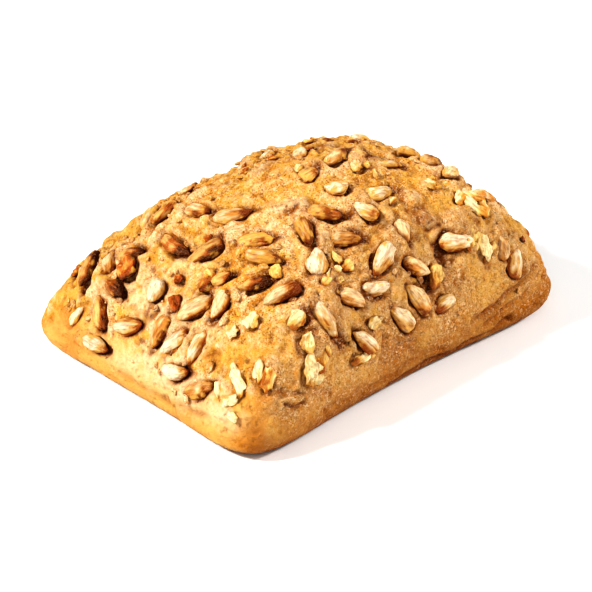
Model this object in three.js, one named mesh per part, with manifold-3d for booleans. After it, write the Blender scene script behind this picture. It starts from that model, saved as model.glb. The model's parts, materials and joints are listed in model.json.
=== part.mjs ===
import * as THREE from 'three';
import { mergeVertices } from 'three/addons/utils/BufferGeometryUtils.js';
import Module from 'manifold-3d';

// A crusty bread roll: a domed pillow of baked dough with four soft corners,
// and sunflower kernels pressed part way into its crust on every side.
// Millimetres, +Z up, the long side along X, standing on its flat underside.

// Loaf
const HALF_LENGTH = 52;
const HALF_WIDTH = 40;
const HEIGHT = 44.5;
const WIDEST_HEIGHT = 5;
const BASE_SHARE = 0.88;
const DOME_RISE = 1.11;
const DOME_CLOSE = 1.12;
const CORNER_LOW = 8;
const CORNER_TOP = 1.7;
const TOP_SHIFT_X = 4.4;
const TOP_SHIFT_Y = -2.4;
const SKEW = -0.045;
const FRONT_PINCH = 0.1;
const BACK_PINCH = 0.06;
const END_PINCH = 0.02;
const LOAF_SIDES = 60;
const LOWER_RINGS = 4;
const UPPER_RINGS = 18;

// Kernels
const KERNEL_WIDTH = 4.1;
const KERNEL_THICKNESS = 3.4;
const KERNEL_SIDES = 8;
const KERNEL_LIFT = 0.5;
const POCKET_GAP = 0.3;

const CRUST = { color: 0xd9a05b, roughness: 0.85 };
const SHADES = {
  pale: { color: 0xe9d6ac, roughness: 0.6 },
  tan: { color: 0xc2955a, roughness: 0.55 },
  dark: { color: 0x7d4a22, roughness: 0.45 },
};

// Each face of the roll, with the way a kernel is pressed into it and the
// direction that is to the right when that face is looked at from outside.
const FACES = {
  top: { press: [0, 0, -1], right: [1, 0, 0], place: (a, b) => [a, b, 70] },
  front: { press: [0, 1, 0], right: [1, 0, 0], place: (a, b) => [a, -70, b] },
  left: { press: [1, 0, 0], right: [0, -1, 0], place: (a, b) => [-80, a, b] },
  back: { press: [0, -1, 0], right: [-1, 0, 0], place: (a, b) => [a, 70, b] },
  right: { press: [-1, 0, 0], right: [0, 1, 0], place: (a, b) => [80, a, b] },
};

// Kernels by face: two coordinates on the face, the turn of the pointed tip
// from the right-hand direction in degrees, the length, the shade and, on a
// broad one, the width.
// The coordinates are X and Y on the top, X and Z on the front and back, and
// Y and Z on the two ends.
const KERNELS = {
  top: [
    [-43, 25, 190, 9, 'dark'],
    [-40.5, 20, 205, 6.5, 'tan'],
    [-37.5, 15.5, -58, 7, 'dark'],
    [-33, 5, -96, 10.5, 'dark', 4.9],
    [-31, -3, 150, 10, 'dark', 4.9],
    [-44, 13.5, -100, 6.5, 'dark'],
    [-41, 2.5, 190, 6, 'pale', 5.1],
    [-40, -10, 142, 10, 'tan', 4.9],
    [-37.5, -16, 200, 7, 'tan'],
    [-27.5, 15, 175, 8.5, 'dark'],
    [-29, 19.5, 200, 8, 'tan'],
    [-24, 7.5, -77, 7, 'tan'],
    [-22, -2, -46, 9.5, 'tan'],
    [-23.5, -11.5, -46, 8, 'dark'],
    [-25.5, -16, -62, 9, 'tan'],
    [-31, -19, 150, 7, 'dark'],
    [-28.5, -24.5, 173, 9.5, 'tan'],
    [-15, -17.5, -112, 8.5, 'tan'],
    [-17.3, -23.9, -126, 7, 'pale', 5.9],
    [-7.5, -23.5, -23, 8, 'tan'],
    [-8, -17, -42, 9, 'dark'],
    [-1, -13.5, -12, 6, 'pale', 4.9],
    [-3, -6, 0, 6, 'dark', 4.7],
    [6.5, -5, 15, 9, 'tan'],
    [12.5, -6.5, -20, 5.5, 'pale'],
    [0.5, -20.5, -54, 7, 'pale', 4.9],
    [8, -18, -9, 8.5, 'pale', 4.7],
    [6.5, -26.5, -101, 6.5, 'tan', 4.7],
    [-2, -29, 210, 10, 'pale', 5.5],
    [20.7, -31, -18, 11.5, 'pale', 5.1],
    [28, -7, -10, 7.5, 'tan'],
    [31, -12, -10, 7.5, 'tan'],
    [33, -16, 10, 7.5, 'tan'],
    [38, -23, -20, 8, 'tan'],
    [24, 5, -10, 7, 'pale'],
    [0.5, 15.5, 20, 7, 'dark'],
  ],
  left: [
    [14.6, 16.2, 126, 8.5, 'dark'],
    [13.5, 9.8, 3, 8.5, 'pale'],
    [6, 16.5, 25, 9, 'pale', 4.7],
    [-4, 18.5, -92, 8.5, 'tan', 4.5],
    [-8.5, 18, -126, 8.5, 'pale'],
    [-15, 19, -95, 8.5, 'pale'],
    [-13, 13.5, 20, 7.5, 'pale'],
    [-20, 12.5, 38, 8.5, 'tan'],
  ],
  front: [
    [-22.5, 25, -80, 10, 'pale', 4.7],
    [-14, 26.5, -39, 8.5, 'tan'],
    [-14, 17.5, 127, 8.5, 'pale'],
    [-6.5, 26, -11, 9.5, 'pale'],
    [-1.5, 18, 125, 9, 'pale', 4.7],
    [4, 20.5, 117, 9.5, 'tan', 4.9],
    [6, 26.5, -40, 8, 'tan'],
    [12.5, 17, 5, 7, 'pale'],
    [34, 22.5, 80, 6.5, 'tan'],
    [36.5, 18, 60, 7.5, 'pale', 5.9],
  ],
  back: [
    [-18, 27, -60, 9, 'pale'],
    [8, 22, 100, 9, 'tan'],
    [28, 24, 35, 8.5, 'dark'],
  ],
  right: [
    [-12, 22, 20, 9, 'pale'],
    [12, 18, -40, 9, 'tan'],
  ],
};

const wasm = await Module();
wasm.setup();

/** Share of the widest outline, corner squareness and share of the rise at one ring. */
function ring(step) {
  if (step < LOWER_RINGS) {
    const turn = (step / LOWER_RINGS) * (Math.PI / 2);
    return {
      z: WIDEST_HEIGHT * (1 - Math.cos(turn)),
      spread: BASE_SHARE + (1 - BASE_SHARE) * Math.sin(turn),
    };
  }
  const turn = ((step - LOWER_RINGS) / UPPER_RINGS) * (Math.PI / 2);
  return {
    z: WIDEST_HEIGHT + (HEIGHT - WIDEST_HEIGHT) * Math.sin(turn) ** DOME_RISE,
    spread: Math.max(0, Math.cos(turn)) ** DOME_CLOSE,
  };
}

/** A point of the crust: a direction around the roll, at one ring. */
function crustPoint(angle, { z, spread }) {
  const rise = THREE.MathUtils.clamp((z - WIDEST_HEIGHT) / (HEIGHT - WIDEST_HEIGHT), 0, 1);
  const power = THREE.MathUtils.lerp(CORNER_LOW, CORNER_TOP, rise);
  const c = Math.cos(angle);
  const s = Math.sin(angle);
  const reach = spread * (Math.abs(c) ** power + Math.abs(s) ** power) ** (-1 / power);
  const u = reach * c;
  const v = reach * s;
  const low = 1 - rise;
  const pinch = v < 0 ? FRONT_PINCH : BACK_PINCH;
  const y = HALF_WIDTH * v * (1 - pinch * low * (1 - u * u));
  const x = HALF_LENGTH * u * (1 - END_PINCH * low * (1 - v * v));
  return new THREE.Vector3(
    x + SKEW * y + TOP_SHIFT_X * rise,
    y + TOP_SHIFT_Y * rise,
    z,
  );
}

/** Merge shared vertices and drop the triangles that collapse at the poles. */
function closedGeometry(geometry) {
  geometry.deleteAttribute('normal');
  geometry.deleteAttribute('uv');
  const merged = mergeVertices(geometry, 1e-3);
  const index = merged.index.array;
  const kept = [];
  for (let i = 0; i < index.length; i += 3) {
    const [a, b, c] = [index[i], index[i + 1], index[i + 2]];
    if (a !== b && b !== c && a !== c) kept.push(a, b, c);
  }
  merged.setIndex(kept);
  return merged;
}

function toSolid(geometry) {
  return new wasm.Manifold(new wasm.Mesh({
    numProp: 3,
    vertProperties: new Float32Array(geometry.attributes.position.array),
    triVerts: new Uint32Array(geometry.index.array),
  }));
}

function fromSolid(solid) {
  const mesh = solid.getMesh();
  const geometry = new THREE.BufferGeometry();
  geometry.setAttribute('position', new THREE.BufferAttribute(mesh.vertProperties, 3));
  geometry.setIndex(new THREE.BufferAttribute(mesh.triVerts, 1));
  return geometry;
}

/** The whole roll before any kernel is pressed in, with its broad flat underside. */
function doughGeometry() {
  const profile = [new THREE.Vector2(0, 0)];
  for (let step = 0; step <= LOWER_RINGS + UPPER_RINGS; step += 1) {
    const { z, spread } = ring(step);
    profile.push(new THREE.Vector2(spread, z));
  }
  profile[profile.length - 1].x = 0;
  const geometry = new THREE.LatheGeometry(profile, LOAF_SIDES);
  const position = geometry.attributes.position;
  for (let i = 0; i < position.count; i += 1) {
    const angle = Math.atan2(position.getX(i), position.getZ(i));
    const spread = Math.hypot(position.getX(i), position.getZ(i));
    const point = crustPoint(angle, { z: position.getY(i), spread });
    position.setXYZ(i, point.x, point.y, point.z);
  }
  return closedGeometry(geometry);
}

/** A flattened teardrop around its own centre, its pointed tip along +Y. */
function kernelGeometry(length, width, thickness) {
  const profile = [
    new THREE.Vector2(0, -0.5),
    new THREE.Vector2(0.6, -0.42),
    new THREE.Vector2(1, -0.16),
    new THREE.Vector2(0.8, 0.14),
    new THREE.Vector2(0.36, 0.4),
    new THREE.Vector2(0, 0.5),
  ];
  const geometry = new THREE.LatheGeometry(profile, KERNEL_SIDES);
  geometry.scale(width / 2, length, thickness / 2);
  return closedGeometry(geometry);
}

/** Where a kernel lies: on the crust, flat against it, with its tip turned. */
function kernelPose(face, a, b, turn) {
  const origin = new THREE.Vector3(...face.place(a, b));
  const press = new THREE.Vector3(...face.press);
  const hit = new THREE.Raycaster(origin, press).intersectObject(dough)[0];
  const outward = hit.face.normal.clone();
  const across = new THREE.Vector3(...face.right).projectOnPlane(outward).normalize();
  const tip = across.applyAxisAngle(outward, THREE.MathUtils.degToRad(turn));
  const side = new THREE.Vector3().crossVectors(tip, outward);
  const pose = new THREE.Matrix4().makeBasis(side, tip, outward);
  return pose.setPosition(hit.point.addScaledVector(outward, KERNEL_LIFT));
}

const roll = new THREE.Group();
const dough = new THREE.Mesh(doughGeometry());
let crust = toSolid(dough.geometry);

for (const [faceName, kernels] of Object.entries(KERNELS)) {
  kernels.forEach(([a, b, turn, length, shade, width = KERNEL_WIDTH], i) => {
    const pose = kernelPose(FACES[faceName], a, b, turn);
    const geometry = kernelGeometry(length, width, KERNEL_THICKNESS);
    const pocket = kernelGeometry(
      length + 2 * POCKET_GAP,
      width + 2 * POCKET_GAP,
      KERNEL_THICKNESS + 2 * POCKET_GAP,
    );
    crust = crust.subtract(toSolid(pocket.applyMatrix4(pose)));
    const kernel = new THREE.Mesh(geometry, new THREE.MeshStandardMaterial(SHADES[shade]));
    kernel.name = `seed_${faceName}_${String(i + 1).padStart(2, '0')}`;
    kernel.applyMatrix4(pose);
    roll.add(kernel);
  });
}

const loaf = new THREE.Mesh(fromSolid(crust), new THREE.MeshStandardMaterial(CRUST));
loaf.name = 'loaf';
roll.add(loaf);

// The origin lies under the middle of the whole roll, on the surface it stands on.
const bounds = new THREE.Box3().setFromObject(roll, true);
roll.position.x = -(bounds.min.x + bounds.max.x) / 2;
roll.position.y = -(bounds.min.y + bounds.max.y) / 2;
roll.updateMatrixWorld(true);

export default roll;
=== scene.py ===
import itertools
import json
import math

import bpy
import numpy as np
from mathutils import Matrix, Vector
from mathutils.bvhtree import BVHTree


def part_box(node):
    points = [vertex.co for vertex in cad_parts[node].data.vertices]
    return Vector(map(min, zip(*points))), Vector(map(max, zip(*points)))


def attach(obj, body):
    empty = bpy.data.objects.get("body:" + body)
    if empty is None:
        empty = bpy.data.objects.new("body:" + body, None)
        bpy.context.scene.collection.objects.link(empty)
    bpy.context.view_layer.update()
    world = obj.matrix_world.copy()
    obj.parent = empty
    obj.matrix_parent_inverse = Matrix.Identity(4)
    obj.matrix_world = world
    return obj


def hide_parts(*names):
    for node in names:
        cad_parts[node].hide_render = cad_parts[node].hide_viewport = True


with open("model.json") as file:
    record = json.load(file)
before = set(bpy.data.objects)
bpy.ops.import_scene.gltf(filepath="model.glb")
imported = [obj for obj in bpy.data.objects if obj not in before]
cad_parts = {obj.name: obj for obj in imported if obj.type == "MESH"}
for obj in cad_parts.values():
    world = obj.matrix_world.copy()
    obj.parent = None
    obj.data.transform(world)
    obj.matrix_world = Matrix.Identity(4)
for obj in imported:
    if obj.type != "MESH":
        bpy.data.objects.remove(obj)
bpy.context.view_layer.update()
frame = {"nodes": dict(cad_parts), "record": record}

MM = 0.001

# The loaf's shape, in millimetres: the same numbers as in part.mjs.
HALF_LENGTH, HALF_WIDTH, HEIGHT = 52, 40, 44.5
WIDEST_HEIGHT, BASE_SHARE = 5, 0.88
DOME_RISE, DOME_CLOSE = 1.11, 1.12
CORNER_LOW, CORNER_TOP = 8, 1.7
TOP_SHIFT_X, TOP_SHIFT_Y, SKEW = 4.4, -2.4, -0.045
FRONT_PINCH, BACK_PINCH, END_PINCH = 0.1, 0.06, 0.02

# The size of the cells of the crust's mesh, then how many pores and crumbs it has and
# how many flat breaks each broken bit has.
CRUST_CELL = 0.53
PORES, CRUMBS, BREAKS = 420, 520, 9

# A kernel's ribs and bends add to its size, so it starts from these shares of its
# node's length and width. Its height is in millimetres.
LENGTH_SHARE, WIDTH_SHARE, KERNEL_HEIGHT = 0.98, 0.9, 3.2

# How far a kernel stands out from where its node and the lumps of the crust put it:
# the usual distance and its swing, and that of the kernels listed as proud or sunk.
USUAL_RISE, RISE_SWING = -0.3, 0.4
PROUD_RISE, SUNK_RISE = 0.6, -1.1

# Each kernel and bit has a random seed of its own, counted from these numbers.
NODE_SEED, LOOSE_SEED, BIT_SEED = 100, 300, 500

# The direction from the roll to the camera, and how far towards -Y a piece faces
# when it counts as lying on the front.
TOWARD_CAMERA = np.array((-0.586, -0.638, 0.5))
FRONT_LIMIT = -0.66

# Colours as they look on screen, 0 to 255. A kernel has its pale, middle and toasted
# tones, and how far the toasting goes. The pale tone is also a painted highlight on the
# side toward the lights, and the toasted tone painted shade on the side away from them.
CREAM = (243, 211, 168)
GOLD = (225, 178, 92)
ORANGE = (204, 134, 38)
AMBER = (180, 120, 42)
BEIGE = (206, 167, 114)
DULL_CREAM = (236, 196, 154)
FLOUR = (249, 227, 196)
LIGHT_GOLD = (243, 188, 92)
BROWN = (124, 56, 2)
BURNT = (76, 22, 0)
KERNEL_TONES = {
    "kernel_pale": ((240, 220, 188), (220, 175, 106), (158, 78, 10), -0.14),
    "kernel_tan": ((236, 206, 162), (206, 144, 68), (118, 46, 2), 0.1),
    "kernel_dark": ((228, 184, 116), (174, 92, 22), (66, 16, 0), 0.18),
}
BIT_TONES = {
    "kernel_pale": ((242, 224, 176), (230, 188, 110), (176, 104, 32), -0.14),
    "kernel_tan": ((238, 206, 136), (220, 166, 78), (156, 84, 18), 0.0),
    "kernel_dark": ((188, 100, 32), (152, 66, 10), (70, 18, 0), 0.12),
}
FLAKE_TONES = ((246, 230, 186), (240, 206, 128), (214, 146, 54), -0.25)

# Kernels toasted more or less than their slot says, and those that are proud or sunk.
EXTRA_TOAST = {
    0.6: ["top_15", "top_18", "left_02", "left_03"],
    0.4: ["top_01", "top_02", "top_03", "top_05", "top_06", "top_20", "left_04", "left_05"],
    0.25: ["top_04", "top_12", "top_13", "top_16", "left_08"],
    -0.25: [
        "top_17", "top_23", "top_26", "top_30", "top_31", "top_35",
        "front_02", "front_03", "front_06",
    ],
    -0.45: ["top_09", "top_14", "top_19", "top_24", "top_33", "top_34", "front_07"],
}
PROUD = ["top_31", "top_32", "top_33"]
SUNK = ["front_09"]

# The side of each kernel and bit that faces away from the lights, painted darker as
# # shade while its other side is painted paler; and the same for pieces on the front,
# # which the side light reaches from the right.
SHADE_SIDE = np.array((0.45, -0.76, -0.47))
SHADE_SIDE_FRONT = np.array((-0.8, -0.1, -0.5))

# Each face: the way that pieces are pressed into it, the direction to the right when
# it is looked at from outside, and a point well outside it to press them from.
FACES = {
    "top": ((0, 0, -1), (1, 0, 0), lambda a, b: (a, b, 70)),
    "front": ((0, 1, 0), (1, 0, 0), lambda a, b: (a, -70, b)),
    "left": ((1, 0, 0), (0, -1, 0), lambda a, b: (-80, a, b)),
    "back": ((0, -1, 0), (-1, 0, 0), lambda a, b: (a, 70, b)),
    "right": ((-1, 0, 0), (0, 1, 0), lambda a, b: (80, a, b)),
}

# Whole kernels too small or too many for a CAD node:
# face, two coordinates, turn of the tip, length, width, height, shade.
LOOSE_KERNELS = [
    ("top", 18.5, -10.5, -13, 7.5, 2.4, 1.8, "pale"),
    ("top", 2.8, 2.8, 25, 5.5, 3.4, 2, "pale"),
    ("top", 0.5, 11.5, 20, 5, 3, 2.2, "pale"),
    ("top", -5.5, 13.5, 30, 6, 1.8, 1.4, "pale"),
    ("top", 15.5, 8, -5, 5, 1.8, 1.2, "tan"),
    ("top", 19.5, 2.5, 10, 3.6, 2.4, 1.6, "tan"),
    ("top", 23, 1.5, 30, 3.2, 2.4, 1.6, "pale"),
    ("top", -8, 4, 15, 5.5, 2.8, 1.2, "pale"),
    ("top", -17, 19.5, 5, 6.5, 3.2, 1.8, "tan"),
    ("top", -40, 28, 190, 5, 3.4, 2.4, "dark"),
    ("top", -33.5, -12, -34, 5.5, 3.2, 2.6, "dark"),
    ("left", 22, 13.3, 68, 6, 2.2, 1.6, "pale"),
]

# Broken bits and flakes: face, two coordinates, turn, length, width, height, kind, shade.
BITS = [
    ("top", -40.3, 12.8, 20, 5.8, 5.2, 2.4, "chunk", "dark"),
    ("top", -37.5, -1.2, 0, 2.2, 2, 1.3, "chunk", "dark"),
    ("top", -41, -4.3, 30, 4.2, 3, 2.2, "chunk", "dark"),
    ("top", -36, -9.1, 10, 4.4, 3.2, 2, "chunk", "dark"),
    ("top", -34.3, -8.6, 80, 3.6, 2.6, 1.8, "chunk", "tan"),
    ("top", -43, 30, 0, 3, 2.6, 1.8, "chunk", "dark"),
    ("top", -26, -20.5, 60, 3.4, 2.8, 1, "chunk", "tan"),
    ("top", -28.5, -1.2, 60, 2.6, 2.2, 1.6, "chunk", "dark"),
    ("left", -28.5, 16.8, -42, 6.6, 3, 1.3, "flake", "pale"),
    ("left", -33, 17.8, -66, 6.2, 3.2, 1.3, "flake", "pale"),
    ("left", -29, 13.2, 50, 4.6, 2.2, 1.2, "flake", "pale"),
    ("left", -31, 10.5, -20, 2.8, 2, 1, "flake", "pale"),
    ("left", -25, 14.5, -55, 4, 1.4, 0.9, "flake", "pale"),
    ("left", -31, 19, -60, 5, 2, 1, "flake", "pale"),
    ("top", -36, -24, 30, 4.4, 3.2, 1.2, "flake", "pale"),
    ("top", -39.5, -22, 0, 3, 2.4, 0.8, "flake", "pale"),
    ("front", -29, 26, 20, 5, 3.8, 1.8, "chunk", "pale"),
    ("front", -29.5, 22.3, 60, 5.4, 3.4, 1.8, "chunk", "pale"),
    ("front", -30.2, 16.8, 80, 7, 4.6, 1.6, "flake", "pale"),
    ("front", -27.6, 17.8, 60, 5, 3, 1.4, "flake", "tan"),
    ("front", -25, 19.5, 90, 3, 1.6, 1.2, "chunk", "tan"),
    ("front", -16.8, 14.2, 0, 3.8, 2.4, 1.4, "flake", "pale"),
    ("front", -14.2, 14, 15, 3.8, 2, 1.2, "flake", "pale"),
    ("front", -12.5, 12.9, 0, 2.2, 1.8, 1.2, "chunk", "tan"),
    ("front", -10.3, 20.3, 30, 4.4, 2.8, 1.8, "chunk", "pale"),
    ("front", 10.5, 23.5, 80, 5.2, 4.2, 2.6, "chunk", "tan"),
    ("top", -18.5, -28, 10, 2.6, 2.2, 1.5, "chunk", "tan"),
    ("top", -16.6, -27.4, 70, 2.8, 1.8, 1.4, "chunk", "pale"),
    ("top", -15.2, -28.8, 20, 2.4, 1.6, 1.3, "chunk", "tan"),
    ("top", -14, -27.3, 40, 2.2, 1.8, 1.3, "chunk", "pale"),
    ("top", -17.4, -29.7, 100, 2.2, 1.6, 1.2, "chunk", "tan"),
    ("top", -19.4, -30, 0, 1.8, 1.5, 1, "chunk", "pale"),
    ("top", -11, -27.5, 30, 3.6, 2.6, 1.2, "chunk", "tan"),
    ("top", -12.5, -25.5, 100, 3.2, 1.8, 1, "flake", "tan"),
    ("top", 9.5, -20.4, 40, 2.6, 2, 1.2, "chunk", "pale"),
    ("top", 25, -18, 40, 2.8, 1.8, 1.1, "chunk", "tan"),
    ("top", 22.5, -20.5, -10, 4.4, 2, 1.4, "chunk", "tan"),
    ("top", 30, -26.4, -60, 7.4, 3.6, 1.4, "flake", "pale"),
    ("top", 32.5, -23.5, -30, 6.4, 3.4, 1.6, "flake", "pale"),
    ("top", 28, -24, 30, 5, 3, 1.2, "flake", "pale"),
    ("top", 33, -27, 60, 5, 3, 1.4, "flake", "pale"),
    ("top", 23, -19.3, -30, 3, 2.4, 1.2, "flake", "pale"),
    ("top", 24.9, -31.3, 60, 6.4, 4.6, 1.2, "flake", "tan"),
    ("front", 27.5, 24.6, 80, 6.4, 3.8, 2, "flake", "pale"),
    ("front", 29.6, 23.6, 30, 3.6, 1.8, 1.4, "flake", "tan"),
    ("front", 42, 21, 0, 1.8, 1.6, 1, "chunk", "dark"),
    ("top", -9.2, 8.4, 20, 3.2, 1.8, 1, "chunk", "dark"),
    ("top", -1.5, 7.5, 0, 2.8, 2.2, 1.4, "chunk", "dark"),
    ("top", 9.5, 7.5, 0, 2.6, 2, 1.2, "chunk", "tan"),
    ("top", 12, 9, 40, 2.2, 1.6, 1, "chunk", "dark"),
    ("top", 6, 3, 0, 1.8, 1.6, 1, "chunk", "dark"),
    ("top", 8.5, -10, 20, 3.4, 2.8, 1.6, "chunk", "pale"),
    ("top", 11.2, -10.3, 60, 2.6, 1.8, 1.4, "chunk", "tan"),
    ("top", 11.5, -13, 55, 3.8, 1.4, 1.1, "chunk", "pale"),
    ("top", -4, -3.5, 0, 2.6, 2.2, 1.3, "chunk", "pale"),
]

# Kernels under the dough, which only swell the crust:
# face, two coordinates, turn, length, width, rise.
BURIED = [
    ("top", -8, 4, 30, 9, 4.6, 1.1),
    ("top", 13.5, -6, 10, 6.5, 4.5, 1),
    ("top", 10.5, 1.5, 20, 7.5, 4.5, 1.1),
    ("top", 6, -22.5, 60, 6, 4, 1),
    ("top", -13.6, -15.4, -60, 6, 4.5, 1.1),
    ("top", 30, -14, -30, 8, 5, 1),
    ("top", -46, 20, 60, 6, 4, 0.9),
    ("top", -11, -11.5, -60, 7.5, 5, 1.3),
    ("top", -15, -9.5, -40, 6.5, 4.5, 1),
    ("top", 3.6, -27.4, 40, 8, 6.5, 1.3),
    ("top", 15.7, -26, -50, 7, 5, 1.2),
    ("top", 14.5, -21, -50, 6.5, 5, 1),
    ("top", 21.8, -27, 30, 8, 6, 1.2),
    ("top", -27, 10.5, 20, 8, 4.4, 0.9),
    ("top", -20.5, 12.5, 15, 7.5, 4.2, 0.9),
    ("top", -33, 12, 40, 7, 4.2, 0.9),
    ("top", -26, -5.5, 20, 8, 6, 1.4),
    ("top", -34, -20, 10, 6, 4.5, 0.8),
    ("top", -27, -29, 30, 7, 5, 0.8),
    ("top", -3, 14, 20, 8, 4.4, 0.8),
    ("top", 8, 20, -30, 8, 4.4, 0.9),
    ("top", 24, 14, 60, 8, 4.4, 0.9),
    ("top", 40, -10, -60, 8, 5, 0.9),
    ("back", 15, 28, 30, 8, 5, 0.9),
    ("right", 0, 25, 60, 8, 5, 0.9),
]

# Dents and pits in the crust, and two low mounds: face, two coordinates, radius, depth.
DENTS = [
    ("front", 8.5, 21.5, 3.4, 2),
    ("front", 14, 27, 3.6, 1),
    ("front", 1, 15, 6, 0.8),
    ("front", -21, 19, 4, 1),
    ("top", -11, -9.5, 1, 1.2),
    ("top", -10.5, -11.5, 0.8, 1),
    ("top", -31, -12, 1.1, 1.1),
    ("top", -12, -1, 9, -0.9),
    ("top", 14, -25, 6, 0.6),
    ("top", -20, -30, 7, -0.7),
]

# Grooves in the crust: face, the points they run through, half width, depth.
CREASES = [
    ("front", [(20, 9.5), (28, 10.5), (36, 13), (43, 15)], 0.9, 0.7),
    ("front", [(24, 7), (31, 8.5), (40, 10.5)], 0.7, 0.5),
    ("front", [(-6, 3), (4, 3.4), (14, 3), (26, 4.2), (33, 5.5)], 0.8, 0.9),
    ("front", [(-14, 5.5), (-5, 5), (3, 6)], 0.7, 0.4),
    ("front", [(-38, 12.5), (-36, 10.5), (-33.5, 10.8)], 0.6, 0.8),
    ("front", [(-35, 14), (-33, 12.5)], 0.5, 0.6),
    ("front", [(-27, 7), (-20, 6.2), (-15, 7)], 0.6, 0.4),
    ("left", [(-24, 8), (-10, 6), (4, 7)], 0.8, 0.3),
    ("top", [(-30, 34), (-18, 31), (-8, 30)], 0.9, 0.6),
    ("top", [(-24, 25), (-14, 23.5), (-2, 24)], 0.8, 0.6),
    ("top", [(-18, 14), (-10, 15.5), (-1, 15)], 0.8, 0.6),
    ("top", [(-27, 17), (-19, 16.2), (-12, 17.5)], 0.6, 0.6),
    ("top", [(-30, 20), (-22, 20.5), (-14, 20)], 0.7, 0.6),
    ("top", [(-16, 11), (-9, 11.5), (-2, 10.5)], 0.6, 0.5),
    ("top", [(-20, 7.5), (-14, 6.5), (-9, 6.5)], 0.6, 0.5),
    ("front", [(-41, 15.5), (-37, 14.6), (-31, 12.2), (-26, 10)], 0.8, 0.45),
    ("back", [(-34, 9), (-15, 7.5), (6, 9.5)], 0.8, 0.5),
    ("right", [(-24, 8), (-4, 10), (18, 8)], 0.8, 0.5),
]

# Patches of crust made paler or more orange: centre, radius, how much paler. The darker
# # patch at the front corner, (-41, -35, 15), is painted shade.
PATCHES = [
    ((-24, -22, 33), 7, 0.8),
    ((-14, -21.5, 36), 5, 0.4),
    ((0, -10, 43), 9, 0.4),
    ((-5, -21.5, 37), 5, 0.4),
    ((15, -33.5, 23), 5, 0.5),
    ((14, -28.5, 31), 5, 0.4),
    ((-43, 5, 22), 6, 0.5),
    ((-51, 23, 10), 8, -0.7),
    ((-29.5, -14, 33), 5, -0.5),
    ((-34, -19.5, 29), 5, -0.6),
    ((-21.5, 17.5, 35), 5, -0.3),
    ((-41, -35, 15), 6, -0.6),
    ((-42, 18, 22), 4, -0.7),
    ((-34, 7, 29), 4, -0.6),
    ((-11, -5, 42), 6, -0.5),
    ((-4, 0, 43), 5, -0.5),
    ((-17, 11, 39.5), 7, 0.6),
    ((-11, -19, 38), 6, 0.6),
    ((-43, -3, 21.5), 6, 0.6),
    ((-19.5, -14.5, 37.5), 4, 0.5),
    ((-8, -19, 38), 4, 0.5),
    ((8, -32, 25), 5, 0.5),
]

# Patches of smooth golden crust: centre, radius.
GOLDEN = [
    ((-32, -18, 30), 11),
    ((-21, 16, 36), 7),
    ((-48, 8, 16), 6),
]

# More whole kernels, scattered where the camera doesn't look: for each face, the range
# of both coordinates and how many. Then the tries and the least distance between
# middles, and the size and lift of each kernel.
SCATTERED = {
    "back": ((-40, 42), (9, 34), 17),
    "right": ((-26, 28), (9, 34), 12),
    "top": ((-16, 34), (-2, 24), 12),
}
SCATTER_TRIES, SCATTER_GAP = 400, 8.5
SCATTER_WIDTH, SCATTER_HEIGHT, SCATTER_LIFT = 3.8, 2.8, 0.7

# Lights: place, size and power, in metres and watts.
LIGHTS = {
    "key_left": ((-0.52, 0.2, 0.5), 0.08, 4.0),
    "side_key": ((0.5, -0.42, 0.46), 0.1, 3.0),
    "front_fill": ((-0.45, -0.5, 0.5), 0.5, 1.5),
}
SKY_STRENGTH = 0.16

# The camera: its direction in degrees, its distance from the point that it looks at,
# and that point, in millimetres, before the loaf's shift into the frame.
CAMERA_AZIMUTH, CAMERA_ELEVATION, CAMERA_DISTANCE = -42.6, 30, 394.25
CAMERA_AIM = (-1.32, 0, 8.77)


def linear(colour):
    """Screen colour, 0 to 255, as the linear colour that shaders use."""
    c = np.asarray(colour, float) / 255
    return np.where(c <= 0.04045, c / 12.92, ((c + 0.055) / 1.055) ** 2.4)


def smooth(x, low, high):
    """0 at low and before, 1 at high and beyond, with a soft step between."""
    t = np.clip((x - low) / (high - low), 0, 1)
    return t * t * (3 - 2 * t)


def noise(points, size, seed):
    """Smooth 3-D noise, about -1 to 1, with features about `size` across."""
    rng = np.random.default_rng(seed)
    order = rng.permutation(256)
    slopes = rng.normal(size=(256, 3))
    slopes /= np.linalg.norm(slopes, axis=1)[:, None]
    cell = np.floor(points / size).astype(int)
    part = points / size - cell
    fade = part ** 3 * (part * (part * 6 - 15) + 10)
    total = np.zeros(len(points))
    for corner in itertools.product((0, 1), repeat=3):
        c = (cell + corner) & 255
        pick = order[(order[(order[c[:, 0]] + c[:, 1]) & 255] + c[:, 2]) & 255]
        weight = np.prod(np.where(corner, fade, 1 - fade), axis=1)
        total += weight * ((part - corner) * slopes[pick]).sum(axis=1)
    return total * 1.7


def noise3(points, size, seed):
    """Three noises side by side, as a shift in each direction."""
    return np.stack([noise(points, size, seed + k) for k in range(3)], axis=-1)


def hill(x, middle, width):
    """1 at the middle, falling smoothly away on both sides."""
    return np.exp(-((x - middle) / width) ** 2)


def blend(base, colour, weight):
    """Colours moved towards another one by a weight for each point."""
    return base + (linear(colour) - base) * np.clip(weight, 0, 1)[:, None]


# ------------------------------ the crust


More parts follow.
